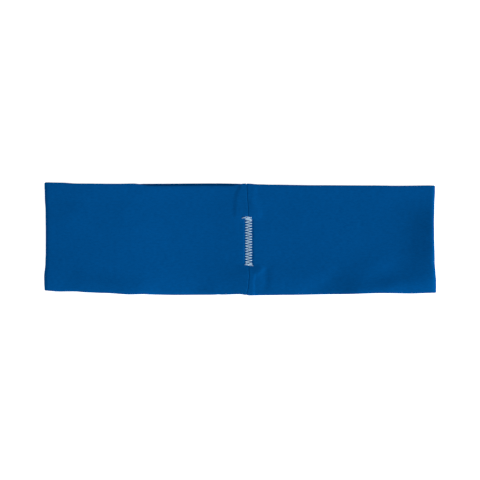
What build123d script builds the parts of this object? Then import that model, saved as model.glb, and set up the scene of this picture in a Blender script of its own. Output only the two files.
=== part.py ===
"""A two-layer knitted sports headband, lying folded flat on a table.

The band is a loop of two fabric rings: a face panel outside and a lining panel inside. Both are sewn together
along the two long edges with their raw edges turned in and overlocked, and each is joined end to end at the
back seam. The middle of the face panel's back seam is the gap that the band was turned through, and a zigzag
stitch through every layer closes it.

The origin is under the middle of the band. +X runs along the folded length, +Y across the band towards its
upper edge, and +Z up from the table. The back seam is on the upper half.
"""

from build123d import *

import os

# The band, in millimetres
FLAT_LENGTH = 240.0  # fold to fold
BAND_WIDTH = 67.5  # finished edge to finished edge
PLY = 0.45  # one thickness of the knit
HEAD_GAP = 4.6  # between the two halves, where the head goes
EDGE_ALLOWANCE = 6.0  # fabric turned in along each long edge
END_ALLOWANCE = 7.0  # fabric turned in at each side of the back seam
SEAM_X = 5.6  # the back seam isn't in the middle of the folded length

# Threads
SEAM_THREAD = 0.2  # polyester thread inside the seams
CLOSING_THREAD = 0.36  # thicker, plied thread of the closing zigzag
TAIL_THREAD = 0.3  # the cut end, which has begun to untwist
OVERLOCK_BITE = 5.0  # from the raw edges to the overlock's needle line, close to the finished edge

# The closing zigzag
ZIGZAG_TOP = 13.7  # above the band's middle line
ZIGZAG_BOTTOM = -16.6
ZIGZAG_SWING = 4.3  # between the thread's furthest places left and right
ZIGZAG_PITCH = 1.6  # from one stitch to the next on the same side
OUTWARD_SHARE = 0.3  # of the pitch, which the stroke from left to right takes
LOCK_LENGTH = 1.8  # of the close stitches that lock each end
LOCK_PITCH = 0.9
END_LOCK_SWING = 5.4
TURN_REACH = 0.21  # half the height of the turn at the end of a stroke
TURN_RADIUS = 0.185  # of the thread's centre line in that turn
TAIL_REACH = 2.5  # how far the cut end lies to the left of the first stitches
TAIL_DROP = 0.7

# Clearances between parts that lie on each other
SKIN = 0.05
THREAD_ROOM = SEAM_THREAD + SKIN

# Depths below the band's outer face, layer by layer
FACE_TURN_IN = PLY + THREAD_ROOM
FACE_DEPTH = FACE_TURN_IN + PLY
LINING_START = FACE_DEPTH + SKIN
LINING_TURN_IN = LINING_START + PLY
LINING_PLY_START = LINING_TURN_IN + THREAD_ROOM
HALF_THICKNESS = LINING_PLY_START + PLY
THICKNESS = 2 * HALF_THICKNESS + HEAD_GAP

EDGE_Y = BAND_WIDTH / 2
RAW_EDGE_Y = EDGE_Y - EDGE_ALLOWANCE
END_TAB_Y = RAW_EDGE_Y - 2 * THREAD_ROOM  # the end allowances stop short of the overlocked edges
SLIT = 2 * SKIN  # where a panel's two ends meet
PAST = 1.0  # how far a cutting tool runs past what it cuts


def box(x_range, y_range, z_range):
    """A block between the given limits."""
    size = [high - low for low, high in (x_range, y_range, z_range)]
    middle = [(low + high) / 2 for low, high in (x_range, y_range, z_range)]
    return Pos(*middle) * Box(*size)


def core(depth, y_range):
    """Everything inside the loop's outline at a depth below the outer face, over a range across the band."""
    y_low, y_high = y_range
    outline = SlotOverall(FLAT_LENGTH - 2 * depth, THICKNESS - 2 * depth)
    start = Plane.XZ.offset(-y_high) * Pos(0, THICKNESS / 2)
    return extrude(start * outline, amount=y_high - y_low)


def ring(depth_range, y_range):
    """A loop of even thickness between two depths."""
    y_low, y_high = y_range
    return core(depth_range[0], y_range) - core(depth_range[1], (y_low - PAST, y_high + PAST))


def end_wires(solid, inner):
    """The edges round a loop at its two ends across the band: those of its hole, or those of its outside."""
    faces = solid.faces().sort_by(Axis.Y)
    wires = [face.inner_wires()[0] if inner else face.outer_wire() for face in (faces[0], faces[-1])]
    return [edge for wire in wires for edge in wire.edges()]


def top_depths(depth_range):
    """The heights of two depths on the upper half."""
    return (THICKNESS - depth_range[1], THICKNESS - depth_range[0])


def joined_ends(depth_range, tab_depths, web_depths):
    """The cut where a panel's two ends meet, and the allowances turned in beside it, pressed open."""
    slit = box(
        (SEAM_X - SLIT / 2, SEAM_X + SLIT / 2),
        (-EDGE_Y - PAST, EDGE_Y + PAST),
        top_depths(depth_range),
    )
    tabs = []
    for side in (-1, 1):
        near, web, far = (SEAM_X + side * step for step in (SLIT / 2, SLIT / 2 + PLY, END_ALLOWANCE))
        across = (-END_TAB_Y, END_TAB_Y)
        tabs.append(box(sorted((near, web)), across, top_depths(web_depths)))
        tabs.append(box(sorted((near, far)), across, top_depths(tab_depths)))
    return slit, tabs


def outer_panel():
    """The face fabric: one ply, its long edges turned in, its ends turned in at the back seam."""
    whole = (-EDGE_Y, EDGE_Y)
    panel = ring((0, FACE_DEPTH), whole)
    panel = fillet(end_wires(panel, inner=False), PLY)
    panel -= core(PLY, (-RAW_EDGE_Y, RAW_EDGE_Y))
    panel -= ring((PLY, FACE_TURN_IN), (-EDGE_Y + PLY, EDGE_Y - PLY))
    slit, tabs = joined_ends((-PAST, FACE_DEPTH), (FACE_TURN_IN, FACE_DEPTH), (PLY / 2, FACE_DEPTH))
    panel += tabs
    return panel - slit


def lining_panel():
    """The fabric against the skin, turned in the opposite way, so that the two panels' allowances meet."""
    whole = (-EDGE_Y, EDGE_Y)
    panel = ring((LINING_START, HALF_THICKNESS), whole)
    panel = fillet(end_wires(panel, inner=True), PLY)
    panel -= ring((LINING_START - SKIN, LINING_PLY_START), (-RAW_EDGE_Y, RAW_EDGE_Y))
    panel -= ring((LINING_TURN_IN, LINING_PLY_START), (-EDGE_Y + PLY, EDGE_Y - PLY))
    slit, tabs = joined_ends(
        (LINING_START - SKIN, HALF_THICKNESS + PAST),
        (LINING_START, LINING_TURN_IN),
        (LINING_START, HALF_THICKNESS - PLY / 2),
    )
    panel += tabs
    return panel - slit


def edge_seam(side):
    """The three overlock threads that bind both panels' raw edges along one long edge."""
    needle_y = RAW_EDGE_Y + OVERLOCK_BITE
    outside = RAW_EDGE_Y - SKIN - SEAM_THREAD
    upper = (PLY + SKIN / 2, PLY + SKIN / 2 + SEAM_THREAD)
    lower = (LINING_TURN_IN + SKIN / 2, LINING_TURN_IN + SKIN / 2 + SEAM_THREAD)
    meeting = (FACE_DEPTH + LINING_START) / 2

    def across(low, high):
        return tuple(sorted((side * low, side * high)))

    strip, lip = across(outside, needle_y - SEAM_THREAD), across(outside, RAW_EDGE_Y - SKIN)
    return {
        "needle_thread": ring(upper, across(needle_y, needle_y + SEAM_THREAD)),
        "upper_looper_thread": ring(upper, strip) + ring((upper[0], meeting - SKIN / 4), lip),
        "lower_looper_thread": ring(lower, strip) + ring((meeting + SKIN / 4, lower[1]), lip),
    }


def seam_line(x, depth, stretches):
    """Straight lengths of thread along the back seam, one for each stretch of it."""
    z = THICKNESS - depth
    return [
        Plane(origin=(x, y_low, z), z_dir=(0, 1, 0))
        * Pos(0, 0, (y_high - y_low) / 2)
        * Cylinder(SEAM_THREAD / 2, y_high - y_low)
        for y_low, y_high in stretches
    ]


def back_seam(depth, stretches):
    """The needle thread left of a panel's joined ends, and the bobbin thread right of them."""
    step = SLIT / 2 + PLY + SKIN + SEAM_THREAD / 2
    return {
        "needle_thread": Compound(seam_line(SEAM_X - step, depth, stretches)),
        "bobbin_thread": Compound(seam_line(SEAM_X + step, depth, stretches)),
    }


def zigzag_points(top, bottom, swing, pitch, outward_share):
    """The corners of a zigzag down the back seam from its top left, two to each turn."""
    left, right = SEAM_X - swing / 2, SEAM_X + swing / 2
    corners, y = [(left, top)], top
    while y - pitch >= bottom - SKIN:
        for x, turn_y in ((right, y - outward_share * pitch), (left, y - pitch)):
            corners += [(x, turn_y + TURN_REACH), (x, turn_y - TURN_REACH)]
        y -= pitch
    return corners[:-1]


def laid_thread(corners, height, thickness):
    """One thread along a zigzag, lying flat at a height, with a round turn at each corner."""
    path = FilletPolyline(*[(x, y, height) for x, y in corners], radius=TURN_RADIUS)
    section = Plane(origin=path @ 0, z_dir=path % 0) * Circle(thickness / 2)
    return sweep(section, path=path)


def closing_stitch():
    """The zigzag's two threads, the close stitches at its ends and the cut end of the thread."""
    over = THICKNESS + CLOSING_THREAD / 2
    under = THICKNESS - HALF_THICKNESS - CLOSING_THREAD / 2
    gap = CLOSING_THREAD + SKIN
    main = zigzag_points(
        ZIGZAG_TOP - LOCK_LENGTH - gap,
        ZIGZAG_BOTTOM + LOCK_LENGTH + gap,
        ZIGZAG_SWING,
        ZIGZAG_PITCH,
        OUTWARD_SHARE,
    )
    start = zigzag_points(ZIGZAG_TOP, ZIGZAG_TOP - LOCK_LENGTH, ZIGZAG_SWING, LOCK_PITCH, 0.5)
    end = zigzag_points(ZIGZAG_BOTTOM + LOCK_LENGTH, ZIGZAG_BOTTOM, END_LOCK_SWING, LOCK_PITCH, 0.5)
    return {
        "zigzag_top_thread": laid_thread(main, over, CLOSING_THREAD),
        "zigzag_under_thread": laid_thread(main, under, CLOSING_THREAD),
        "start_lock_stitches": laid_thread(start, over, CLOSING_THREAD),
        "end_lock_stitches": laid_thread(end, over, CLOSING_THREAD),
        "thread_tail": thread_tail(),
    }


def thread_tail():
    """The trimmed end of the needle thread, lying to the left of the first stitches."""
    z = THICKNESS + TAIL_THREAD / 2
    start_x = SEAM_X - ZIGZAG_SWING / 2 - CLOSING_THREAD
    start_y = ZIGZAG_TOP - LOCK_PITCH / 2
    path = TangentArc(
        (start_x, start_y, z),
        (start_x - TAIL_REACH, start_y - TAIL_DROP, z),
        tangent=(-1, 0, 0),
    )
    section = Plane(origin=path @ 0, z_dir=path % 0) * Circle(TAIL_THREAD / 2)
    return sweep(section, path=path)


def all_parts():
    """Every sub-part by its node name."""
    parts = {"outer_panel": outer_panel(), "lining_panel": lining_panel()}
    for name, side in (("top_edge", 1), ("bottom_edge", -1)):
        parts.update({f"{name}_{thread}": solid for thread, solid in edge_seam(side).items()})

    # The face's seam threads stop a thread's width short of the gap that the zigzag closes.
    above_gap = (ZIGZAG_TOP + CLOSING_THREAD, END_TAB_Y)
    below_gap = (-END_TAB_Y, ZIGZAG_BOTTOM - CLOSING_THREAD)
    face_threads = back_seam(PLY + THREAD_ROOM / 2, [above_gap, below_gap])
    lining_threads = back_seam(LINING_PLY_START - THREAD_ROOM / 2, [(-END_TAB_Y, END_TAB_Y)])
    parts.update({f"face_back_seam_{thread}": solid for thread, solid in face_threads.items()})
    parts.update({f"lining_back_seam_{thread}": solid for thread, solid in lining_threads.items()})
    parts.update(closing_stitch())
    return parts


os.makedirs("parts", exist_ok=True)
for node, solid in all_parts().items():
    export_step(solid, f"parts/{node}.step")
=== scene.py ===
"""Looks for a two-layer knitted sports headband that lies folded flat on a table.

Every piece is first made rolled out, as if the loop were opened at its back seam and laid flat:
    X runs along the outer face, from the back seam to the right and round the loop back to the seam
    Y runs across the band, from its lower long edge to its upper one
    Z is minus the depth below the outer face
One function, fold_up(), lays every rolled-out piece on the table, so cloth and threads keep their layers.
"""

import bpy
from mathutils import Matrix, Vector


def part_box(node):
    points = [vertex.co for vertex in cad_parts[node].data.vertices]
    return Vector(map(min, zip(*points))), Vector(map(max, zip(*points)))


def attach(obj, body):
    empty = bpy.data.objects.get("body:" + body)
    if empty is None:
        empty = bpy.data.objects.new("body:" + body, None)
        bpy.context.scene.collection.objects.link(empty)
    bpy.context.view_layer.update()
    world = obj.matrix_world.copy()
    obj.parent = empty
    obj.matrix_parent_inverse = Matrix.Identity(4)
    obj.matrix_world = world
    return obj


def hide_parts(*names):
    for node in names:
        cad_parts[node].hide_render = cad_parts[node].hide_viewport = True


bl_info = {
    "name": "Sports headband",
    "version": (1, 0, 0),
    "blender": (4, 5, 0),
    "location": "View3D > Sidebar > Headband",
    "description": "Makes the cloth, seams, closing stitch and stage of a folded sports headband",
    "category": "Object",
}

import math
from functools import partial

import bmesh
import bpy
import numpy as np
from bpy.props import FloatProperty, FloatVectorProperty, PointerProperty

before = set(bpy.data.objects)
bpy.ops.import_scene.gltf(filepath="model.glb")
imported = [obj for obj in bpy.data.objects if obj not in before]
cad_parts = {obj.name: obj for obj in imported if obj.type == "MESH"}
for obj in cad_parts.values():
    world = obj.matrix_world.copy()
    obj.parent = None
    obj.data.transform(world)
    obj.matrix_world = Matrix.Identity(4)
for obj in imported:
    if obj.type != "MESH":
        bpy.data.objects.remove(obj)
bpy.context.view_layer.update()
BODY = "root"
MM = 0.001

# The band's sizes, from the frame
FACE_LOW, FACE_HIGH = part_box("outer_panel")
LINING_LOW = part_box("lining_panel")[0]
FLAT_LENGTH, BAND_WIDTH, THICKNESS = FACE_HIGH - FACE_LOW
EDGE_Y = BAND_WIDTH / 2
NEEDLE_LINE_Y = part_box("top_edge_needle_thread")[0].y
RAW_EDGE_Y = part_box("top_edge_upper_looper_thread")[0].y
SEAM_X = (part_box("face_back_seam_needle_thread")[0].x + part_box("face_back_seam_bobbin_thread")[1].x) / 2
END_TAB_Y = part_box("lining_back_seam_needle_thread")[1].y  # half the end allowances' width
ZIGZAG_LOW, ZIGZAG_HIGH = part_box("zigzag_top_thread")
START_LOCK_LOW, START_LOCK_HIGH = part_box("start_lock_stitches")
END_LOCK_LOW, END_LOCK_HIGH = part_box("end_lock_stitches")
TAIL_LOW, TAIL_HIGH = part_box("thread_tail")

# Layers, as depths below the outer face
PLY = 0.45 * MM
SEAM_THREAD = 0.2 * MM
THREAD_ROOM = 0.25 * MM
FACE_TURN_IN = PLY + THREAD_ROOM
FACE_DEPTH = FACE_TURN_IN + PLY
LINING_START = LINING_LOW.z - FACE_LOW.z
HALF_THICKNESS = LINING_START + FACE_DEPTH
NOSE = FACE_DEPTH / 2  # radius of a panel's turned edge
END_ALLOWANCE = 7.0 * MM  # cloth turned in at each side of the back seam
END_RADIUS = 0.62 * MM  # of the cloth's turn into the back seam
SEAM_GAP = 0.005 * MM  # from the back seam to each of the two ends that meet there
INNER_REACH = 0.05 * MM  # how far the long edges' turned-in cloth, too deep to bend, goes towards the seam

# The rolled-out loop
FOLD_REACH = 3.0 * MM  # from a fold's crest to its end, seen from above
FOLD_FULLNESS = 0.65  # 1 for an oval fold, less for one with a steeper side
HALF_RUN = FLAT_LENGTH / 2 - FOLD_REACH
ARC = math.pi * math.sqrt((FOLD_REACH**2 + (THICKNESS / 2) ** 2) / 2)
LOOP = 4 * HALF_RUN + 2 * ARC
RIGHT_TURN = HALF_RUN - SEAM_X  # where the right fold begins
LEFT_TURN = RIGHT_TURN + ARC + 2 * HALF_RUN


def mm(values):
    """Numbers in millimetres as metres."""
    return np.array(values, float) * MM


# How the long edges and the folds stand off the straight outline: (place along it, distance in +X or +Y)
TOP_EDGE = mm(
    [(-120, 1.55), (-110, 1.35), (-100, 0.78), (-76, 0.65), (-62, 0.88), (-14, 1.12), (4, 0.87), (12, 0.38),
     (20, 0.2), (46, -0.15), (84, -0.3), (97, -0.47), (120, -0.25)]
)
BOTTOM_EDGE = mm(
    [(-120, 2.1), (-112, 1.55), (-102, 1.6), (-94, 1.07), (-84, 0.72), (-66, -0.27), (-40, -0.73),
     (-20, -0.65), (0, -0.12), (6, -0.85), (16, -0.75), (30, -0.56), (58, -0.12), (86, 0.55), (106, 0.3),
     (120, 0.68)]
)
RIGHT_END = mm([(-34, 1.5), (-26, 1.35), (-22, 0.87), (-14, 0.28), (2, 0), (10, 0), (20, 0.38), (31, 0.85)])
LEFT_END = mm(
    [(-34, -1), (-25, -1.18), (-17, -0.42), (-10, -0.22), (2, -0.2), (16, -0.3), (24, -0.75), (34, -0.97)]
)
END_FROM, END_RUN = mm([60, 50])  # where the folds' outlines begin to act, either side, and over what length
# How far the lower half shows past the upper one: (place along the edge, distance)
TOP_PEEK = mm([(-66, 0), (-54, 1.5), (-6, 1.5), (3, 0)])
BOTTOM_PEEK = mm([(-72, 0), (-50, 0.5), (-38, 0.9), (-20, 0.9), (-10, 0)])
HIDDEN = 0.4 * MM  # how far the lower half stays back everywhere else
# The back seam's sideways wander: (place across the band, distance)
SEAM_WANDER = mm(
    [(-33, -1.6), (-28.5, -0.5), (-25.5, -0.35), (-22.5, 0), (-17, -0.2), (-12, -0.3), (12, -0.3), (17, -0.7),
     (20.5, -0.72), (25, -1.1), (34, -1.5)]
)
WANDER_WIDTH = 12 * MM  # how far to each side the cloth follows it

# The upper half's height along the band: (place, share of the left crest's height over the middle's)
LEFT_SWELL = np.array([(-122, 0.85), (-92, 1), (-14, 0)]) * (MM, 1)
# The swelling by the right fold: start, end and width, in millimetres
RIGHT_SWELL = ((124, 1), (122, -9), 15.5)
# Soft folds in the upper half: start, end, width and height, in millimetres
FOLDS = (
    ((43, -33), (60, -22), 5.0, -0.5),
    ((65, -34), (87, -14), 8.0, 0.7),
    ((74, -36), (119, -24), 7.5, 1.25),
    ((70, -33.5), (95, -28), 5.5, 0.7),
    ((-98, -27), (-64, -31), 6.0, 0.7),
    ((-124, -38), (-104, -37), 9.0, -1.15),
    ((-47, -36), (-30, -36), 9.0, -1.2),
    ((-104, 15), (-101, 17), 8.0, 0.45),
    ((-14, -27), (72, -24), 9.0, 0.6),
    ((-68, 14), (-64, 10), 11.0, 0.5),
    ((8, 21), (9.5, 18), 3.2, 0.3),
    ((16.2, -20), (15.9, -28), 2.6, -0.45),
)
# The cloth sinks up to this far from the band's middle line, and rises again over the next length
SINK_REACH, SINK_FADE = mm([23, 8])
SEAM_FADE = 16 * MM  # over which it also rises beside the back seam's end allowances

# The end allowances lift the face from a crease at their left, (place across the band, x), to a step at their
# right, (place across the band, distance from the seam). Above the closing stitch:
CREASE = mm([(12, -2.9), (20, -3.3), (27, -2.6), (32, -0.3), (34, 0.1)])
CREASE_LIP = 1.1 * MM  # from the crease to where they lie full height
UPPER_STEP = mm([(16, 5.2), (22, 2.2)])
UPPER_FADES = mm([2.2, 4])  # the width of each side's slope
# Below it, from the seam itself:
LOWER_STEP = mm([(-24, 2.2), (-19, 7.8)])
LOWER_FADES = mm([14, 1.7])
LOWER_EXTRA = 1.3  # times as high as above the stitch
# How far above and below the band's middle line they begin to show, and over what length they rise
UPPER_FROM, LOWER_FROM, RIDGE_RISE = mm([11, 15, 5])

# Where the lining lies close to the face: up to this far from the band's middle line, fading over this length,
# and from this far beside the back seam
CLOSE_REACH, CLOSE_FADE, CLOSE_FROM_SEAM = mm([24, 5, 9])
PROBE = 0.15 * MM  # step to either side that measures the face's slope

# How far apart the cloth's points lie
ACROSS, ACROSS_BY_STITCH = mm([1.5, 0.4])
AT_SEAM, NEAR_SEAM, AT_FOLD, UPPER_HALF, LOWER_HALF = mm([0.35, 0.8, 0.9, 2.2, 3.0])
AT_SEAM_TO, NEAR_SEAM_TO = mm([6.4, 18])  # from the seam
AT_FOLD_FROM = 14 * MM  # before the fold
TAB_ALONG, TAB_ACROSS, TAB_START = mm([1, 2, 0.1])  # the end allowances' points, and their start at the seam


def smooth(t):
    """0 to 1 with level ends."""
    t = np.clip(t, 0.0, 1.0)
    return t * t * (3.0 - 2.0 * t)


def window(t, low, high, soft_low, soft_high):
    """1 between two limits, falling smoothly to 0 past them."""
    return smooth((t - low) / soft_low + 1) * smooth((high - t) / soft_high + 1)


def line_through(t, points):
    """A smooth line through a few points, level at each of them."""
    places, values = points[:, 0], points[:, 1]
    t = np.clip(t, places[0], places[-1])
    i = np.clip(np.searchsorted(places, t, side="right") - 1, 0, len(places) - 2)
    share = smooth((t - places[i]) / (places[i + 1] - places[i]))
    return values[i] + (values[i + 1] - values[i]) * share


def soft_fold(x, y, start, end, width, height):
    """The height of a fold along a line, which fades out past its ends."""
    run = np.subtract(end, start)
    length = math.hypot(*run)
    along = ((x - start[0]) * run[0] + (y - start[1]) * run[1]) / length
    aside = ((y - start[1]) * run[0] - (x - start[0]) * run[1]) / length
    past = np.maximum(np.maximum(-along, along - length), 0)
    return height * np.exp(-(aside**2 + past**2) / width**2)


def ripple(x, y):
    """Slow, uneven waves in the cloth, from -1 to 1."""
    return (
        np.sin(x / (6.1 * MM) + 1.7 * np.sin(y / (8.3 * MM)))
        + np.sin(y / (4.9 * MM) + 1.3 * np.sin(x / (11.7 * MM) + 0.6))
        + np.sin((x + 0.6 * y) / (9.3 * MM) + 2.0)
    ) / 3


def from_seam(s):
    """How far a station is from the back seam, either way round the loop."""
    s = np.mod(s, LOOP)
    return np.minimum(s, LOOP - s)


def along_loop(s):
    """A station's x once folded, and its share of the folded height."""
    s = np.mod(s, LOOP)
    half_turn = math.pi * (1 - 1e-9)  # a hair less, so that no sine falls below 0
    right = np.clip((s - RIGHT_TURN) / ARC, 0, 1) * half_turn
    left = np.clip((s - LEFT_TURN) / ARC, 0, 1) * half_turn
    x = (
        SEAM_X
        + np.clip(s, 0, RIGHT_TURN)
        - np.clip(s - RIGHT_TURN - ARC, 0, 2 * HALF_RUN)
        + np.clip(s - LEFT_TURN - ARC, 0, None)
        + FOLD_REACH * (np.sin(right) ** FOLD_FULLNESS - np.sin(left) ** FOLD_FULLNESS)
    )
    share = np.where(s < LEFT_TURN, 1 + np.cos(right), 1 - np.cos(left)) / 2
    return x, share


def crown(x, y, cloth):
    """The height of the upper half's outer face above the table."""
    height = cloth.middle_height + (cloth.left_height - cloth.middle_height) * line_through(x, LEFT_SWELL)
    start, end, width = RIGHT_SWELL
    height += soft_fold(x, y, mm(start), mm(end), width * MM, cloth.right_height - cloth.middle_height)
    height += cloth.ripple_height * ripple(x, y)
    for start, end, width, lift in FOLDS:
        height += soft_fold(x, y, mm(start), mm(end), width * MM, lift * MM)

    # The cloth sinks where no turned-in edge lies under it.
    beside_seam = 1 - window(x, SEAM_X - END_ALLOWANCE, SEAM_X + END_ALLOWANCE, SEAM_FADE, SEAM_FADE)
    height -= cloth.sink * beside_seam * (1 - smooth((np.abs(y) - SINK_REACH) / SINK_FADE))

    crease = line_through(y, CREASE)
    upper_end = SEAM_X + line_through(y, UPPER_STEP)
    upper = window(x, crease + CREASE_LIP, upper_end, *UPPER_FADES) * smooth((y - UPPER_FROM) / RIDGE_RISE)
    lower_end = SEAM_X + line_through(y, LOWER_STEP)
    lower = window(x, SEAM_X, lower_end, *LOWER_FADES) * smooth((-LOWER_FROM - y) / RIDGE_RISE)
    return height + cloth.seam_ridge * (upper + LOWER_EXTRA * lower)


def outer_face(s, v, cloth):
    """Where a station along and across the rolled-out outer face lies on the table."""
    x, share = along_loop(s)
    x = x + share * line_through(v, SEAM_WANDER) * np.exp(-(((x - SEAM_X) / WANDER_WIDTH) ** 2))
    x += line_through(v, RIGHT_END) * smooth((x - END_FROM) / END_RUN)
    x += line_through(v, LEFT_END) * smooth((-x - END_FROM) / END_RUN)
    top_peek, bottom_peek = line_through(x, TOP_PEEK), line_through(x, BOTTOM_PEEK)
    top_hidden, bottom_hidden = np.maximum(HIDDEN - top_peek, 0), np.maximum(HIDDEN - bottom_peek, 0)
    top = line_through(x, TOP_EDGE) - share * top_peek - (1 - share) * top_hidden
    bottom = line_through(x, BOTTOM_EDGE) + share * bottom_peek + (1 - share) * bottom_hidden
    t = v / EDGE_Y
    y = v + top * (1 + t) / 2 + bottom * (1 - t) / 2
    return np.stack([x, y, share * crown(x, y, cloth)], axis=-1)


def pressed(depth, s, v, cloth):
    """A layer's real depth: the plies lie close together where no turned-in cloth keeps them apart."""
    beside_seam = 1 - np.exp(-((from_seam(s) / CLOSE_FROM_SEAM) ** 4))
    close = (1 - smooth((np.abs(v) - CLOSE_REACH) / CLOSE_FADE)) * beside_seam
    share = np.clip((depth - PLY) / (HALF_THICKNESS - 2 * PLY), 0, 1)
    return np.where(depth > 0, cloth.press * (depth - cloth.closing * close * share), depth)


def fold_up(obj, cloth):
    """Lays a rolled-out piece on the table."""
    mesh = obj.data
    flat = np.empty(len(mesh.vertices) * 3)
    mesh.vertices.foreach_get("co", flat)
    s, v, depth = flat.reshape(-1, 3).T * np.array([[1], [1], [-1]])
    along = outer_face(s + PROBE, v, cloth) - outer_face(s - PROBE, v, cloth)
    across = outer_face(s, v + PROBE, cloth) - outer_face(s, v - PROBE, cloth)
    outwards = np.cross(along, across)
    outwards /= np.linalg.norm(outwards, axis=1, keepdims=True)
    laid = outer_face(s, v, cloth) - outwards * pressed(depth, s, v, cloth)[:, None]
    mesh.vertices.foreach_set("co", laid.ravel())
    mesh.update()


# Cloth

# Points round a turned edge, outside and inside, and round the turn into the back seam
OUTER_COLUMNS, INNER_COLUMNS, TURN_STATIONS = 9, 6, 8
INNER_EVERY = 4  # the inner side has a point under every fourth outer one


def half_outline(radius, turn_in, columns):
    """One side of a ply, from its lower raw edge round the turned edge to the first column across."""
    shoulder = EDGE_Y - NOSE
    allowance = [(-v, turn_in) for v in np.linspace(RAW_EDGE_Y, shoulder, columns)[:-1]]
    angles = np.linspace(0, math.pi, columns)
    return allowance + [(-shoulder - radius * math.sin(a), NOSE + radius * math.cos(a)) for a in angles]


def ply_side(radius, turn_in, across, columns):
    """One side of a ply right across the band: (place across, depth below the panel's own face)."""
    half = half_outline(radius, turn_in, columns)
    depth = half[-1][1]
    other = [(-v, e) for v, e in reversed(half)]
    return np.array(half + [(v, depth) for v in across] + other)


def spaced(*stops):
    """Places from stop to stop, each (place, spacing up to it)."""
    places = [stops[0][0]]
    for (start, _), (end, spacing) in zip(stops, stops[1:]):
        count = max(1, round((end - start) / spacing))
        places += list(np.linspace(start, end, count + 1)[1:])
    return np.array(places)


def widths(side):
    """How far each point of a ply's side is from its start, along the cloth."""
    steps = np.linalg.norm(np.diff(side, axis=0), axis=1)
    return np.concatenate([[0], np.cumsum(steps)])


def zip_up(first, second):
    """Triangles between two rows of points that start and end together."""
    faces, i, j = [], 0, 0
    while i < len(first) - 1 or j < len(second) - 1:
        if i * (len(second) - 1) <= j * (len(first) - 1) and i < len(first) - 1:
            faces.append((first[i], first[i + 1], second[j]))
            i += 1
        else:
            faces.append((first[i], second[j + 1], second[j]))
            j += 1
    return faces


def ply_strip(sides, stations):
    """One length of ply: points, cloth coordinates and faces. A station turns its section into places."""
    outer, inner = sides
    section = np.concatenate([outer, inner[::-1]])
    cloth_width = np.concatenate([widths(outer), widths(inner)[::-1]])
    rows = np.array([np.stack(station(*section.T), axis=-1) for station in stations])
    count = len(section)
    first = np.arange(count)
    after = np.roll(first, -1)
    faces = []
    for row in range(len(rows) - 1):
        near, far = row * count, (row + 1) * count
        faces += list(zip(near + first, near + after, far + after, far + first))
    for base in (0, (len(rows) - 1) * count):
        outer_ids = [base + i for i in range(len(outer))]
        inner_ids = [base + count - 1 - i for i in range(len(inner))]
        faces += zip_up(outer_ids, inner_ids)
    points = rows.reshape(-1, 3)
    laid = np.stack([points[:, 0], np.tile(cloth_width, len(rows))], axis=-1)
    return points, laid, faces


def turned_in(turn, further):
    """A station where the ply's end has turned into the back seam by an angle, and gone on by a length."""

    def station(v, e):
        bends = e < END_RADIUS
        reach = np.where(bends, END_RADIUS - e, INNER_REACH)
        away = END_RADIUS - reach * math.sin(turn) - np.where(bends, 0, further * INNER_REACH / END_RADIUS)
        depth = np.where(bends, END_RADIUS - reach * math.cos(turn) + further, e)
        return np.maximum(away, SEAM_GAP), v, depth

    return station


def straight(s):
    """A station where the ply lies flat."""
    return lambda v, e: (np.full_like(v, s), v, e)


def from_left(station):
    """The same station on the seam's other side."""

    def mirrored(v, e):
        s, v, depth = station(v, e)
        return LOOP - s, v, depth

    return mirrored


def panel_strips(stations_between, across):
    """A panel's whole ply, and its two end allowances under it."""
    outer = ply_side(NOSE, FACE_DEPTH, across, OUTER_COLUMNS)
    sides = (outer, ply_side(NOSE - PLY, FACE_TURN_IN, across[::INNER_EVERY], INNER_COLUMNS))
    turn = [turned_in(math.pi / 2, END_RADIUS / 2)]
    turn += [turned_in(angle, 0) for angle in np.linspace(math.pi / 2, 0, TURN_STATIONS)[:-1]]
    stations = turn + [straight(s) for s in stations_between] + [from_left(t) for t in reversed(turn)]
    yield ply_strip(sides, stations)
    columns = spaced((-END_TAB_Y, 0), (END_TAB_Y, TAB_ACROSS))
    tab_sides = [np.stack([columns, np.full_like(columns, e)], axis=-1) for e in (FACE_TURN_IN, FACE_DEPTH)]
    tab = [straight(s) for s in spaced((TAB_START, 0), (END_ALLOWANCE, TAB_ALONG))]
    for side in (tab, [from_left(station) for station in tab]):
        yield ply_strip(tab_sides, side)


def build_panel(name, strips, place):
    """A panel's mesh from its strips, rolled out, with the cloth coordinates as its UV map."""
    points, cloth, faces = [], [], []
    for strip_points, strip_cloth, strip_faces in strips:
        shift = sum(len(p) for p in points)
        points.append(place(strip_points))
        cloth.append(strip_cloth)
        faces += [tuple(int(i) + shift for i in face) for face in strip_faces]
    mesh = bpy.data.meshes.new(name)
    mesh.from_pydata(np.concatenate(points).tolist(), [], faces)
    corners = np.empty(len(mesh.loops), int)
    mesh.loops.foreach_get("vertex_index", corners)
    uv = mesh.uv_layers.new(name="cloth")
    uv.data.foreach_set("uv", np.concatenate(cloth)[corners].ravel())
    work = bmesh.new()
    work.from_mesh(mesh)
    bmesh.ops.recalc_face_normals(work, faces=work.faces)
    work.to_mesh(mesh)
    work.free()
    mesh.shade_smooth()
    obj = bpy.data.objects.new(name, mesh)
    bpy.context.scene.collection.objects.link(obj)
    return obj


TROUGH_SIDE, TROUGH_END = mm([1.2, 1.5])  # the width of the trough's slopes, beside the stitch and at its ends


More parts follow.
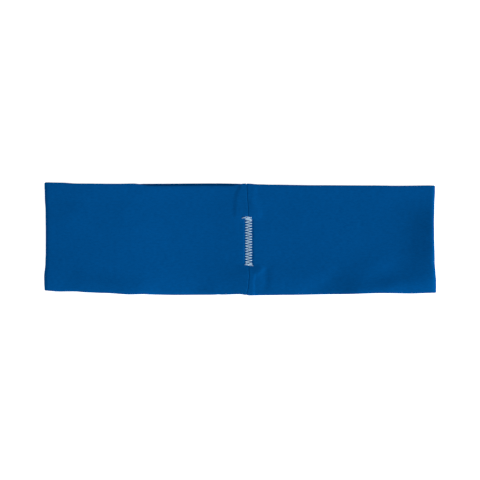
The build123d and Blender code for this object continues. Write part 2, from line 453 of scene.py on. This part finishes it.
def needle_marks(s, v, stitch):
    """How far the closing stitch presses the face in: a shallow trough, and a dent at each needle hole."""
    s = np.where(s > LOOP / 2, s - LOOP, s)
    half = stitch.swing / 2
    top, bottom = ZIGZAG_HIGH.y, ZIGZAG_LOW.y
    trough = window(s, -half, half, TROUGH_SIDE, TROUGH_SIDE) * window(v, bottom, top, TROUGH_END, TROUGH_END)
    dents = 0
    for side, late in ((-1, 0.0), (1, stitch.outward_share)):
        turns = (top - v) / stitch.pitch - late
        off = (turns - np.round(turns)) * stitch.pitch
        near = (s - side * half) ** 2 + off**2
        dents = dents + np.exp(-near / stitch.dent_width**2) * window(v, bottom, top, MM, MM)
    return stitch.trough * trough + stitch.dent * dents


# Threads


def node(tree, kind, inputs=None, **settings):
    """Adds a node, with its own settings and with its inputs set or linked."""
    made = tree.nodes.new(kind)
    for key, value in settings.items():
        setattr(made, key, value)
    for key, value in (inputs or {}).items():
        if isinstance(value, bpy.types.NodeSocket):
            tree.links.new(value, made.inputs[key])
        else:
            made.inputs[key].default_value = value
    return made


def maths(tree, operation, a, b=0.0, c=0.0):
    """The result of one sum on numbers."""
    return node(tree, "ShaderNodeMath", {0: a, 1: b, 2: c}, operation=operation).outputs[0]


def vectors(tree, operation, a, b):
    """The result of one sum on vectors."""
    key = "Scale" if operation == "SCALE" else 1
    return node(tree, "ShaderNodeVectorMath", {0: a, key: b}, operation=operation).outputs[0]


def new_tree(name, sockets):
    """An empty Geometry Nodes tree with named inputs, and its input and output sockets."""
    tree = bpy.data.node_groups.new(name, "GeometryNodeTree")
    for label, kind in sockets:
        tree.interface.new_socket(label, in_out="INPUT", socket_type="NodeSocket" + kind)
    tree.interface.new_socket("Geometry", in_out="OUTPUT", socket_type="NodeSocketGeometry")
    return tree, tree.nodes.new("NodeGroupInput").outputs, tree.nodes.new("NodeGroupOutput").inputs


THREAD_SOCKETS = [("Plies", "Int"), ("Material", "Material")] + [
    (label, "Float") for label in ("Ply Radius", "Lay Radius", "Twist", "Step", "Splay", "Taper")
]
# How far the middles of three plies that touch lie from the thread's own, in ply radii
THREE_PLY_LAY = 1.155
PLY_SIDES = 6
STEPS_PER_STITCH = 48.0
BEND_STEPS = 32  # of a loose end
UNEVEN_SCALE = 700.0  # how quickly stitches stray, per metre


def plied_thread_tree():
    """Twists plies round a path. Each is a thin tube, and they part and thin out towards a cut end."""
    tree, given, result = new_tree("plied_thread", [("Path", "Geometry")] + THREAD_SOCKETS)
    sums = partial(maths, tree)
    steps = {"Curve": given["Path"], "Length": given["Step"]}
    path = node(tree, "GeometryNodeResampleCurve", steps, mode="LENGTH")
    copies = {"Geometry": path.outputs[0], "Amount": given["Plies"]}
    plies = node(tree, "GeometryNodeDuplicateElements", copies, domain="SPLINE")
    place = node(tree, "GeometryNodeSplineParameter")
    share = sums("DIVIDE", plies.outputs["Duplicate Index"], given["Plies"])
    turns = sums("ADD", sums("DIVIDE", place.outputs["Length"], given["Twist"]), share)
    angle = sums("MULTIPLY", turns, math.tau)
    to_end = sums("POWER", place.outputs["Factor"], 2.0)
    lay = sums("MULTIPLY_ADD", to_end, given["Splay"], given["Lay Radius"])
    normal = node(tree, "GeometryNodeInputNormal").outputs["Normal"]
    tangent = node(tree, "GeometryNodeInputTangent").outputs["Tangent"]
    aside = vectors(tree, "SCALE", normal, sums("MULTIPLY", lay, sums("COSINE", angle)))
    up = vectors(tree, "CROSS_PRODUCT", tangent, normal)
    up = vectors(tree, "SCALE", up, sums("MULTIPLY", lay, sums("SINE", angle)))
    offset = vectors(tree, "ADD", aside, up)
    moved = node(tree, "GeometryNodeSetPosition", {"Geometry": plies.outputs["Geometry"], "Offset": offset})
    thinning = sums("SUBTRACT", 1.0, sums("MULTIPLY", to_end, given["Taper"]))
    sized = node(tree, "GeometryNodeSetCurveRadius", {"Curve": moved.outputs[0], "Radius": thinning})
    circle = {"Resolution": PLY_SIDES, "Radius": given["Ply Radius"]}
    ring = node(tree, "GeometryNodeCurvePrimitiveCircle", circle)
    skin = {
        "Curve": sized.outputs[0], "Profile Curve": ring.outputs["Curve"], "Scale": thinning, "Fill Caps": True
    }
    tube = node(tree, "GeometryNodeCurveToMesh", skin)
    rounded = node(tree, "GeometryNodeSetShadeSmooth", {"Geometry": tube.outputs[0]})
    real = node(tree, "GeometryNodeRealizeInstances", {"Geometry": rounded.outputs[0]})
    dyed = {"Geometry": real.outputs[0], "Material": given["Material"]}
    finished = node(tree, "GeometryNodeSetMaterial", dyed)
    tree.links.new(finished.outputs[0], result["Geometry"])
    return tree


def finish_thread(tree, thread_tree, path, given, result):
    """Ends a tree with its path made into thread."""
    inputs = {label: given[label] for label, _ in THREAD_SOCKETS}
    thread = tree.nodes.new("GeometryNodeGroup")
    thread.node_tree = thread_tree
    for label, value in {"Path": path, **inputs}.items():
        tree.links.new(value, thread.inputs[label])
    tree.links.new(thread.outputs[0], result["Geometry"])


STITCH_SOCKETS = [("Start", "Vector"), ("End", "Vector"), ("Swing", "Vector")] + [
    (label, "Float")
    for label in (
        "Pitch", "Outward Share", "Widening", "Level", "Hole Level", "Hole Share", "Both Sides", "Unevenness"
    )
]


def stitch_tree(thread_tree):
    """A row of stitches along a line: the thread swings from side to side and dips through the cloth."""
    tree, given, result = new_tree("stitch_row", STITCH_SOCKETS + THREAD_SOCKETS)
    sums = partial(maths, tree)
    line = node(tree, "GeometryNodeCurvePrimitiveLine", {"Start": given["Start"], "End": given["End"]})
    steps = {"Curve": line.outputs[0], "Length": sums("DIVIDE", given["Pitch"], STEPS_PER_STITCH)}
    fine = node(tree, "GeometryNodeResampleCurve", steps, mode="LENGTH")
    place = node(tree, "GeometryNodeSplineParameter")
    phase = sums("FRACT", sums("DIVIDE", place.outputs["Length"], given["Pitch"]))
    out = sums("DIVIDE", phase, given["Outward Share"])
    back_share = sums("SUBTRACT", 1.0, given["Outward Share"])
    back = sums("DIVIDE", sums("SUBTRACT", 1.0, phase), back_share)
    side = sums("MULTIPLY_ADD", sums("MINIMUM", out, back), 2.0, -1.0)
    other = sums("MULTIPLY", sums("MULTIPLY", side, -1.0), given["Both Sides"])
    dip_start = sums("SUBTRACT", 1.0, given["Hole Share"])
    dip_range = {
        "Value": sums("SUBTRACT", sums("MAXIMUM", side, other), dip_start),
        "From Max": given["Hole Share"], "To Min": given["Level"], "To Max": given["Hole Level"],
    }
    dip = node(tree, "ShaderNodeMapRange", dip_range, interpolation_type="SMOOTHSTEP").outputs[0]
    uneven = node(tree, "ShaderNodeTexNoise", {"Scale": UNEVEN_SCALE, "Detail": 0.0})
    jitter = vectors(tree, "SUBTRACT", uneven.outputs["Color"], (0.5, 0.5, 0.5))
    jitter = vectors(tree, "SCALE", jitter, given["Unevenness"])
    widening = sums("MULTIPLY", place.outputs["Factor"], given["Widening"])
    swing = vectors(tree, "SCALE", given["Swing"], sums("MULTIPLY_ADD", widening, side, side))
    height = node(tree, "ShaderNodeCombineXYZ", {"Z": dip}).outputs[0]
    offset = vectors(tree, "ADD", vectors(tree, "ADD", swing, height), jitter)
    path = node(tree, "GeometryNodeSetPosition", {"Geometry": fine.outputs[0], "Offset": offset})
    finish_thread(tree, thread_tree, path.outputs[0], given, result)
    return tree


def loose_end_tree(thread_tree):
    """A short free end of thread in one bend."""
    ends = [("Start", "Vector"), ("Middle", "Vector"), ("End", "Vector")]
    tree, given, result = new_tree("loose_end", ends + THREAD_SOCKETS)
    points = {label: given[label] for label, _ in ends}
    bend = node(tree, "GeometryNodeCurveQuadraticBezier", {"Resolution": BEND_STEPS, **points})
    finish_thread(tree, thread_tree, bend.outputs[0], given, result)
    return tree


def thread_trees():
    """The trees for a row of stitches and for a loose end, made once."""
    if "stitch_row" not in bpy.data.node_groups:
        thread_tree = plied_thread_tree()
        stitch_tree(thread_tree)
        loose_end_tree(thread_tree)
    return bpy.data.node_groups["stitch_row"], bpy.data.node_groups["loose_end"]


def thread_values(diameter, plies, material, twist, step, splay=0.0, taper=0.0):
    """What a tree needs to know of its thread, which has one ply or three."""
    lay = 0.0 if plies == 1 else THREE_PLY_LAY
    ply = diameter / 2 / (1 + lay)
    return {
        "Plies": plies, "Ply Radius": ply, "Lay Radius": ply * lay, "Twist": twist, "Step": step,
        "Splay": splay, "Taper": taper, "Material": material,
    }


def made_by(name, tree, values):
    """The plain mesh object that a tree makes from its inputs."""
    obj = bpy.data.objects.new(name, bpy.data.meshes.new(name))
    bpy.context.scene.collection.objects.link(obj)
    modifier = obj.modifiers.new("thread", "NODES")
    modifier.node_group = tree
    sockets = {item.name: item.identifier for item in tree.interface.items_tree if item.in_out == "INPUT"}
    for label, value in values.items():
        modifier[sockets[label]] = value
    graph = bpy.context.evaluated_depsgraph_get()
    mesh = bpy.data.meshes.new_from_object(obj.evaluated_get(graph), depsgraph=graph)
    obj.modifiers.remove(modifier)
    obj.data = mesh
    mesh.name = name
    if not len(mesh.vertices):
        raise RuntimeError(f"{name}: the tree made no thread")
    return obj


def stitch_row(name, start, end, thread, pitch, level, hole_level, hole_share, swing=(0.0, 0.0, 0.0),
               outward_share=0.5, widening=0.0, both_sides=0.0, unevenness=0.0):
    """A rolled-out row of stitches, whose thread dips to its hole level at one or both ends of its swing."""
    values = {
        "Start": start, "End": end, "Swing": swing, "Pitch": pitch, "Outward Share": outward_share,
        "Widening": widening, "Level": level, "Hole Level": hole_level, "Hole Share": hole_share,
        "Both Sides": both_sides, "Unevenness": unevenness, **thread,
    }
    return made_by(name, thread_trees()[0], values)


def joined(parts):
    """Several rolled-out threads as one piece."""
    work = bmesh.new()
    for part in parts:
        work.from_mesh(part.data)
    first = parts[0]
    work.to_mesh(first.data)
    work.free()
    for part in parts[1:]:
        bpy.data.objects.remove(part)
    return first


def settle(obj, slot, *nodes):
    """Puts a finished piece on the object's body, in place of its CAD nodes."""
    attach(obj, BODY)
    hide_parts(*nodes)


# Finishes


def new_material(name):
    """An empty node material, and its tree."""
    material = bpy.data.materials.new(name)
    material.use_nodes = True
    material.node_tree.nodes.clear()
    return material, material.node_tree


def add_surface(tree, inputs):
    """Ends a material's tree with its shader."""
    shader = node(tree, "ShaderNodeBsdfPrincipled", inputs)
    node(tree, "ShaderNodeOutputMaterial", {"Surface": shader.outputs[0]})


def tinted(tree, colour, low, high, share):
    """A colour that a pattern darkens or lightens between two factors."""
    factor = node(tree, "ShaderNodeMapRange", {"Value": share, "To Min": low, "To Max": high}).outputs[0]
    base = node(tree, "ShaderNodeRGB")
    base.outputs[0].default_value = (*colour, 1.0)
    return vectors(tree, "SCALE", base.outputs[0], factor)


def noise(tree, place, scale, detail):
    """A soft random pattern, from 0 to 1."""
    inputs = {"Vector": place, "Scale": scale, "Detail": detail}
    return node(tree, "ShaderNodeTexNoise", inputs).outputs["Fac"]


def mixed(tree, first, second, share):
    """Two patterns together, with the first one's share."""
    return maths(tree, "MULTIPLY_ADD", first, share, maths(tree, "MULTIPLY", second, 1 - share))


WHITE = (1.0, 1.0, 1.0, 1.0)
# How fine the patterns are, per metre
FIBRE_SCALE = 9000.0
GRAIN_SCALE = 1000.0
PATCH_SCALE = 900.0
CLOUD_SCALE = 160.0
GRAIN_STRETCH = (0.45, 1.0, 1.0)  # makes the grain longer along the knit's rows
KNIT_DEPTH = 0.08 * MM
FIBRE_DEPTH = 0.03 * MM
SLANT = 1.3  # of a V stitch's legs, in rows over a column's width
CLOTH_TINT, THREAD_TINT = (0.65, 1.35), (0.8, 1.2)  # the darkest and lightest factors on the colour


def jersey(name, colour, finish):
    """Fine plain knit: columns of V stitches across the band, with painted shade between the loops, a slight
    mottle and a soft nap.
    """
    material, tree = new_material(name)
    sums = partial(maths, tree)
    cloth = node(tree, "ShaderNodeUVMap", uv_map="cloth").outputs[0]
    places = node(tree, "ShaderNodeSeparateXYZ", {0: cloth})
    column = sums("DIVIDE", places.outputs["X"], finish.wale)
    row = sums("DIVIDE", places.outputs["Y"], finish.course)
    in_column = sums("ABSOLUTE", sums("SUBTRACT", sums("FRACT", column), 0.5))
    in_row = sums("FRACT", sums("ADD", row, sums("MULTIPLY", in_column, SLANT)))
    yarn = sums("POWER", sums("SINE", sums("MULTIPLY", in_row, math.pi)), 0.6)
    legs = sums("ABSOLUTE", sums("SINE", sums("MULTIPLY", in_column, math.tau)))
    knit = sums("MULTIPLY", yarn, sums("MULTIPLY_ADD", legs, 0.7, 0.3))
    nap = noise(tree, cloth, FIBRE_SCALE, 2.0)
    relief = sums("ADD", knit, sums("MULTIPLY", nap, 0.5))
    stitches = {"Strength": finish.knit_bump, "Distance": KNIT_DEPTH, "Height": relief}
    cloud = noise(tree, node(tree, "ShaderNodeTexCoord").outputs["Object"], CLOUD_SCALE, 3.0)
    grain = noise(tree, vectors(tree, "MULTIPLY", cloth, GRAIN_STRETCH), GRAIN_SCALE, 1.0)
    # The base colour is darker between the knit's loops, as painted shade in their hollows, mixed with a random
    # mottle of grain and cloud.
    shade = mixed(tree, knit, mixed(tree, grain, cloud, 0.75), 0.25)
    add_surface(tree, {
        "Base Color": tinted(tree, colour, *CLOTH_TINT, shade),
        "Roughness": sums("MULTIPLY_ADD", nap, 0.12, 0.78),
        "Normal": node(tree, "ShaderNodeBump", stitches).outputs[0],
        "Specular IOR Level": 0.0,
        "Sheen Weight": finish.sheen,
        "Sheen Roughness": 0.45,
        "Sheen Tint": (0.0, 0.3, 0.85, 1.0),
    })
    return material


def spun(name, colour, sheen, tint):
    """Polyester thread: fine filaments along the twist, with a slight sheen."""
    material, tree = new_material(name)
    sums = partial(maths, tree)
    place = node(tree, "ShaderNodeTexCoord").outputs["Object"]
    strands = noise(tree, place, FIBRE_SCALE, 2.0)
    shade = mixed(tree, strands, noise(tree, place, PATCH_SCALE, 1.0), 0.5)
    bump = node(tree, "ShaderNodeBump", {"Strength": 0.4, "Distance": FIBRE_DEPTH, "Height": strands})
    add_surface(tree, {
        "Base Color": tinted(tree, colour, *THREAD_TINT, shade),
        "Roughness": sums("MULTIPLY_ADD", strands, 0.2, 0.45),
        "Normal": bump.outputs[0],
        "Specular IOR Level": 0.3,
        "Sheen Weight": sheen,
        "Sheen Tint": (*tint, 1.0),
    })
    return material


def seam_thread(finish):
    """The material of the threads inside the seams, made once."""
    made = bpy.data.materials.get("seam_thread")
    return made or spun("seam_thread", finish.seam, 0.1, (0.1, 0.4, 0.8))


def plain_floor(colour, glow):
    """A smooth, pale, matt table top, lit from below as well."""
    material, tree = new_material("pale_table")
    add_surface(tree, {
        "Base Color": (*colour, 1.0),
        "Roughness": 0.9,
        "Specular IOR Level": 0.1,
        "Emission Color": WHITE,
        "Emission Strength": glow,
    })
    return material


# Settings


def length_setting(name, description, millimetres):
    """A setting for a length."""
    return FloatProperty(
        name=name, description=description, default=millimetres * MM, unit="LENGTH", precision=5
    )


def share_setting(name, description, default, low=0.0, high=1.0):
    """A setting for a share of one."""
    return FloatProperty(
        name=name, description=description, default=default, min=low, max=high, subtype="FACTOR"
    )


def colour_setting(name, description, default):
    """A setting for a colour."""
    return FloatVectorProperty(
        name=name, description=description, default=default, subtype="COLOR", min=0.0, max=1.0
    )


class HEADBAND_PG_cloth(bpy.types.PropertyGroup):
    """How the cloth lies."""

    middle_height: length_setting("Middle height", "Height of the upper half over most of its length", 5.7)
    right_height: length_setting("Right crest height", "Height at the fold nearer the back seam", 10.1)
    left_height: length_setting("Left crest height", "Height of the swelling near the other fold", 8.5)
    ripple_height: length_setting("Ripple", "Half the height of the cloth's slow waves", 0.1)
    sink: length_setting("Sink", "How far the face sinks between the turned-in long edges", 0.15)
    seam_ridge: length_setting("Seam ridge", "Height of the end allowances under the face", 0.4)
    closing: length_setting("Closing", "How much closer the lining lies between the long edges", 1.1)
    press: share_setting("Press", "Share of the layers' loose depth that is left once pressed", 0.8, low=0.5)


class HEADBAND_PG_stitch(bpy.types.PropertyGroup):
    """The stitches' sizes."""

    pitch: length_setting("Zigzag pitch", "From one stitch to the next on the same side", 1.6)
    swing: length_setting("Zigzag width", "Between the needle holes left and right", 4.3)
    outward_share: share_setting(
        "Outward share", "Share of the pitch that the stroke from left to right takes", 0.3, low=0.05, high=0.95
    )
    lock_pitch: length_setting("Lock pitch", "Pitch of the stitches that lock the zigzag's lower end", 0.72)
    thread: length_setting("Closing thread", "Thickness of the closing zigzag's thread", 0.34)
    overlock_pitch: length_setting("Overlock stitch", "Length of one overlock stitch", 3.0)
    seam_pitch: length_setting("Seam stitch", "Length of one stitch in the back seam", 2.5)
    trough: length_setting("Trough", "How far the zigzag presses the face in", 0.25)
    dent: length_setting("Dent", "Depth of the cloth at each needle hole", 0.25)
    dent_width: length_setting("Dent width", "Radius of the dent at each needle hole", 0.5)


class HEADBAND_PG_finish(bpy.types.PropertyGroup):
    """The colours and surfaces."""

    face: colour_setting("Face fabric", "Colour of the cloth outside", (0.0003, 0.0405, 0.146))
    lining: colour_setting("Lining fabric", "Colour of the cloth against the skin", (0.0003, 0.0405, 0.146))
    closing: colour_setting("Closing thread", "Colour of the zigzag", (0.315, 0.45, 0.57))
    seam: colour_setting("Seam thread", "Colour of the threads inside the seams", (0.002, 0.05, 0.17))
    wale: length_setting("Wale", "Width of one column of knit", 0.5)
    course: length_setting("Course", "Height of one row of knit", 0.38)
    knit_bump: share_setting("Knit relief", "Strength of the knit's relief", 0.5)
    sheen: share_setting("Nap", "Strength of the cloth's soft sheen", 0.12)


class HEADBAND_PG_stage(bpy.types.PropertyGroup):
    """The table, lights and camera."""

    floor: colour_setting("Table", "Colour of the table", (0.55, 0.55, 0.55))
    glow: FloatProperty(name="Glow", description="Light through the table from below", default=0.75, min=0)
    sky: FloatProperty(name="Soft light", description="Light from all round", default=1.0, min=0)
    key: FloatProperty(name="Key light", description="Power of the low light, in watts", default=357.0, min=0)
    key_turn: FloatProperty(
        name="Key direction", description="Where the low light stands, from +X towards +Y",
        default=math.radians(-38), subtype="ANGLE",
    )
    key_height: FloatProperty(
        name="Key elevation", description="How high the low light stands",
        default=math.radians(18), subtype="ANGLE",
    )
    key_distance: length_setting("Key distance", "From the low light to the band", 4000.0)
    key_size: length_setting("Key size", "Width of the low light", 2200.0)
    frame_width: length_setting("Frame width", "How much of the table the camera takes in", 295.8)
    lens: FloatProperty(
        name="Lens", description="Focal length", default=100.0, min=10, subtype="DISTANCE_CAMERA",
    )


# Operators


class HEADBAND_OT_sew_panels(bpy.types.Operator):
    """Makes the face and the lining."""

    bl_idname = "headband.sew_panels"
    bl_label = "Cloth"

    def execute(self, context):
        scene = context.scene
        stitch, finish = scene.headband_stitch, scene.headband_finish
        inner_edge = EDGE_Y - NOSE
        face_columns = spaced(
            (-inner_edge, 0), (END_LOCK_LOW.y - MM, ACROSS), (START_LOCK_HIGH.y + MM, ACROSS_BY_STITCH),
            (inner_edge, ACROSS),
        )[1:-1]
        lining_columns = spaced((-inner_edge, 0), (inner_edge, ACROSS))[1:-1]
        stations = spaced(
            (END_RADIUS, 0), (AT_SEAM_TO, AT_SEAM), (NEAR_SEAM_TO, NEAR_SEAM),
            (RIGHT_TURN - AT_FOLD_FROM, UPPER_HALF), (RIGHT_TURN + ARC, AT_FOLD), (LEFT_TURN, LOWER_HALF),
            (LEFT_TURN + ARC, AT_FOLD), (LOOP - NEAR_SEAM_TO, UPPER_HALF), (LOOP - AT_SEAM_TO, NEAR_SEAM),
            (LOOP - END_RADIUS, AT_SEAM),
        )

        def on_face(points):
            s, v, depth = points.T
            under_stitch = (depth <= END_RADIUS + PLY) & (np.abs(v) < RAW_EDGE_Y)
            return np.stack([s, v, -depth - under_stitch * needle_marks(s, v, stitch)], axis=-1)

        def on_lining(points):
            s, v, depth = points.T
            return np.stack([s, v, depth - HALF_THICKNESS], axis=-1)

        made = (
            ("face_cloth", "outer_panel", "face_fabric", finish.face, face_columns, on_face),
            ("lining_cloth", "lining_panel", "lining_fabric", finish.lining, lining_columns, on_lining),
        )
        for name, cad_node, slot, dye, columns, place in made:
            obj = build_panel(name, panel_strips(stations, columns), place)
            fold_up(obj, scene.headband_cloth)
            obj.data.materials.append(jersey(slot, dye, finish))
            settle(obj, slot, cad_node)
        return {"FINISHED"}


# The seam threads are a little thinner than their room in the frame, and their own points lie this far apart.
SEAM_DIAMETER = 0.8 * SEAM_THREAD
OVERLOCK_STEP, SEAM_STEP = mm([0.45, 0.15])
LOOPER_TURN, NEEDLE_TURN = 0.16, 0.12  # share of a stitch's swing in which the thread dips


class HEADBAND_OT_overlock_edges(bpy.types.Operator):
    """Makes the three overlock threads inside each long edge."""

    bl_idname = "headband.overlock_edges"
    bl_label = "Edge seams"

    def execute(self, context):
        scene = context.scene
        thread = thread_values(SEAM_DIAMETER, 1, seam_thread(scene.headband_finish), MM, OVERLOCK_STEP)
        middle, half = (NEEDLE_LINE_Y + RAW_EDGE_Y) / 2, (NEEDLE_LINE_Y - RAW_EDGE_Y) / 2
        above, below = -PLY - THREAD_ROOM / 2, -HALF_THICKNESS + PLY + THREAD_ROOM / 2
        between = -(FACE_DEPTH + LINING_START) / 2
        threads = {
            "needle_thread": (NEEDLE_LINE_Y, 0.0, above, below, NEEDLE_TURN),
            "upper_looper_thread": (middle, half, above, between + SEAM_THREAD / 2, LOOPER_TURN),
            "lower_looper_thread": (middle, half, below, between - SEAM_THREAD / 2, LOOPER_TURN),
        }
        for edge, side in (("top_edge", 1), ("bottom_edge", -1)):
            for thread_name, (y, swing, level, hole_level, hole_share) in threads.items():
                cad_node = f"{edge}_{thread_name}"
                obj = stitch_row(
                    cad_node + "_stitches", (0.0, side * y, 0.0), (LOOP, side * y, 0.0), thread,
                    scene.headband_stitch.overlock_pitch, level, hole_level, hole_share,
                    swing=(0.0, -side * swing, 0.0),
                )
                fold_up(obj, scene.headband_cloth)
                settle(obj, "seam_thread", cad_node)
        return {"FINISHED"}


class HEADBAND_OT_join_back_seam(bpy.types.Operator):
    """Makes the needle and bobbin threads that join each panel's ends."""

    bl_idname = "headband.join_back_seam"
    bl_label = "Back seam"

    def execute(self, context):
        scene = context.scene
        thread = thread_values(SEAM_DIAMETER, 1, seam_thread(scene.headband_finish), MM, SEAM_STEP)
        depths = {"face": PLY + THREAD_ROOM / 2, "lining": HALF_THICKNESS - PLY - THREAD_ROOM / 2}
        for panel, depth in depths.items():
            for line in ("needle_thread", "bobbin_thread"):
                cad_node = f"{panel}_back_seam_{line}"
                low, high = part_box(cad_node)
                x = (low.x + high.x) / 2 - SEAM_X
                runs = [(high.y, low.y)]
                if panel == "face":
                    runs = [(high.y, START_LOCK_HIGH.y), (END_LOCK_LOW.y, low.y)]
                parts = [
                    stitch_row(
                        cad_node + "_stitches", (x, top, -depth), (x, bottom, -depth), thread,
                        scene.headband_stitch.seam_pitch, 0.0, -THREAD_ROOM / 3, 0.25,
                    )
                    for top, bottom in runs
                ]
                obj = joined(parts)
                fold_up(obj, scene.headband_cloth)
                settle(obj, "seam_thread", cad_node)
        return {"FINISHED"}


CLOSING_TWIST, CLOSING_STEP = mm([1.3, 0.11])
STRAY = 0.16 * MM  # how unevenly the closing stitches lie
HOLE_SHARE = 0.14  # share of a stitch's swing in which the thread dips into the cloth
FACE_HOLE, LINING_HOLE = mm([0.5, 0.3])  # how deep it dips, above and below
START_PITCH = 1.25  # of the first lock stitches, over that of the last ones
START_INSET, END_INSET = 0.6, 2.4  # thread widths that the first and last stitch lie inside their room
END_WIDENING = 0.5  # how much wider the last lock stitch is than the zigzag
# The cut end: places in from its room, at its start, bend and end, and how its thread differs
TAIL_START, TAIL_BEND, TAIL_END = mm([(0.8, -0.4), (0, -0.05), (0.9, 0.05)])
TAIL_ARCH = 2.5  # height of the bend over that of its ends
TAIL_WIDTH, TAIL_TAPER = 1.25, 0.85
TAIL_TWIST, TAIL_STEP, TAIL_SPLAY = mm([2.2, 0.08, 0.05])


class HEADBAND_OT_close_gap(bpy.types.Operator):
    """Makes the closing zigzag, its lock stitches and its cut end."""

    bl_idname = "headband.close_gap"
    bl_label = "Closing zigzag"

    def execute(self, context):
        scene = context.scene
        cloth, stitch = scene.headband_cloth, scene.headband_stitch
        white = spun("closing_thread", scene.headband_finish.closing, 0.25, (0.9, 0.95, 1.0))
        thread = thread_values(stitch.thread, 3, white, CLOSING_TWIST, CLOSING_STEP)
        height = stitch.thread / 2
        on_face = (height - stitch.trough, -stitch.trough - FACE_HOLE)
        on_lining = (-HALF_THICKNESS - height, -HALF_THICKNESS + LINING_HOLE)
        zigzag = (START_LOCK_LOW.y, END_LOCK_HIGH.y, 0.0, stitch.pitch, stitch.outward_share)
        lock_top = START_LOCK_HIGH.y - START_INSET * stitch.thread
        lock_bottom = END_LOCK_LOW.y + END_INSET * stitch.thread
        rows = {
            "zigzag_top_thread": (*zigzag, on_face),
            "zigzag_under_thread": (*zigzag, on_lining),
            "start_lock_stitches": (
                lock_top, START_LOCK_LOW.y, 0.0, START_PITCH * stitch.lock_pitch, 0.5, on_face
            ),
            "end_lock_stitches": (
                END_LOCK_HIGH.y, lock_bottom, END_WIDENING, stitch.lock_pitch, 0.5, on_face
            ),
        }
        for cad_node, (start, end, widening, pitch, outward_share, levels) in rows.items():
            obj = stitch_row(
                cad_node.replace("_thread", "") + "_laid", (0.0, start, 0.0), (0.0, end, 0.0), thread, pitch,
                *levels, HOLE_SHARE, swing=(stitch.swing / 2, 0.0, 0.0), outward_share=outward_share,
                widening=widening, both_sides=1.0, unevenness=STRAY,
            )
            fold_up(obj, cloth)
            settle(obj, "closing_thread", cad_node)

        start_x = TAIL_HIGH.x - SEAM_X + TAIL_START[0]
        end_x = TAIL_LOW.x - SEAM_X + TAIL_END[0]
        loose = thread_values(
            stitch.thread * TAIL_WIDTH, 3, white, TAIL_TWIST, TAIL_STEP, splay=TAIL_SPLAY, taper=TAIL_TAPER
        )
        values = {
            "Start": (start_x, TAIL_HIGH.y + TAIL_START[1], height),
            "Middle": ((start_x + end_x) / 2, TAIL_HIGH.y + TAIL_BEND[1], TAIL_ARCH * height),
            "End": (end_x, TAIL_LOW.y + TAIL_END[1], height), **loose,
        }
        tail = made_by("cut_thread_end", thread_trees()[1], values)
        fold_up(tail, cloth)
        settle(tail, "closing_thread", "thread_tail")
        return {"FINISHED"}


TABLE_HALF, TABLE_BELOW = 1.5, -0.05 * MM  # half the table top's side, and how far it lies under the cloth
AIM_Y, AIM_Z = mm([-0.3, 7.3])  # what the camera looks straight down on


class HEADBAND_OT_set_stage(bpy.types.Operator):
    """Sets the table, the lights and the camera."""

    bl_idname = "headband.set_stage"
    bl_label = "Stage"

    def execute(self, context):
        scene, stage = context.scene, context.scene.headband_stage
        mesh = bpy.data.meshes.new("table_top")
        half = TABLE_HALF
        corners = [(x, y, TABLE_BELOW) for x, y in ((-half, -half), (half, -half), (half, half), (-half, half))]
        mesh.from_pydata(corners, [], [(0, 1, 2, 3)])
        table = bpy.data.objects.new("table_top", mesh)
        scene.collection.objects.link(table)
        mesh.materials.append(plain_floor(stage.floor, stage.glow))

        world = bpy.data.worlds.new("soft_light")
        world.use_nodes = True
        background = world.node_tree.nodes["Background"]
        background.inputs["Color"].default_value = WHITE
        background.inputs["Strength"].default_value = stage.sky
        scene.world = world

        lamp = bpy.data.lights.new("key_light", "AREA")
        lamp.energy = stage.key
        lamp.size = stage.key_size
        key = bpy.data.objects.new("key_light", lamp)
        out = stage.key_distance * math.cos(stage.key_height)
        up = stage.key_distance * math.sin(stage.key_height)
        key.location = (out * math.cos(stage.key_turn), out * math.sin(stage.key_turn), up)
        key.rotation_euler = key.location.to_track_quat("Z", "Y").to_euler()
        scene.collection.objects.link(key)

        camera = bpy.data.cameras.new("camera")
        camera.lens = stage.lens
        eye = bpy.data.objects.new("camera", camera)
        away = stage.frame_width * stage.lens / camera.sensor_width
        eye.location = (0.0, AIM_Y, AIM_Z + away)
        scene.collection.objects.link(eye)
        scene.camera = eye
        scene.view_settings.view_transform = "Standard"
        return {"FINISHED"}


class HEADBAND_PT_panel(bpy.types.Panel):
    """The headband's settings and steps."""

    bl_label = "Sports headband"
    bl_idname = "HEADBAND_PT_panel"
    bl_space_type = "VIEW_3D"
    bl_region_type = "UI"
    bl_category = "Headband"

    def draw(self, context):
        for name, group in GROUPS.items():
            box = self.layout.box()
            for prop in group.__annotations__:
                box.prop(getattr(context.scene, name), prop)
        for step in STEPS:
            self.layout.operator(step.bl_idname)


STEPS = (
    HEADBAND_OT_sew_panels, HEADBAND_OT_overlock_edges, HEADBAND_OT_join_back_seam, HEADBAND_OT_close_gap,
    HEADBAND_OT_set_stage,
)
GROUPS = {
    "headband_cloth": HEADBAND_PG_cloth, "headband_stitch": HEADBAND_PG_stitch,
    "headband_finish": HEADBAND_PG_finish, "headband_stage": HEADBAND_PG_stage,
}


def register():
    """Makes the classes known and gives the scene its settings."""
    for group in GROUPS.values():
        bpy.utils.register_class(group)
    for step in (*STEPS, HEADBAND_PT_panel):
        bpy.utils.register_class(step)
    for name, group in GROUPS.items():
        setattr(bpy.types.Scene, name, PointerProperty(type=group))


def unregister():
    """Takes the settings and classes away again."""
    for name in GROUPS:
        delattr(bpy.types.Scene, name)
    for step in (*STEPS, HEADBAND_PT_panel):
        bpy.utils.unregister_class(step)
    for group in GROUPS.values():
        bpy.utils.unregister_class(group)


def main():
    """Makes the whole headband and its stage."""
    register()
    bpy.ops.headband.set_stage()
    bpy.ops.headband.sew_panels()
    bpy.ops.headband.overlock_edges()
    bpy.ops.headband.join_back_seam()
    bpy.ops.headband.close_gap()


if __name__ == "__main__":
    main()
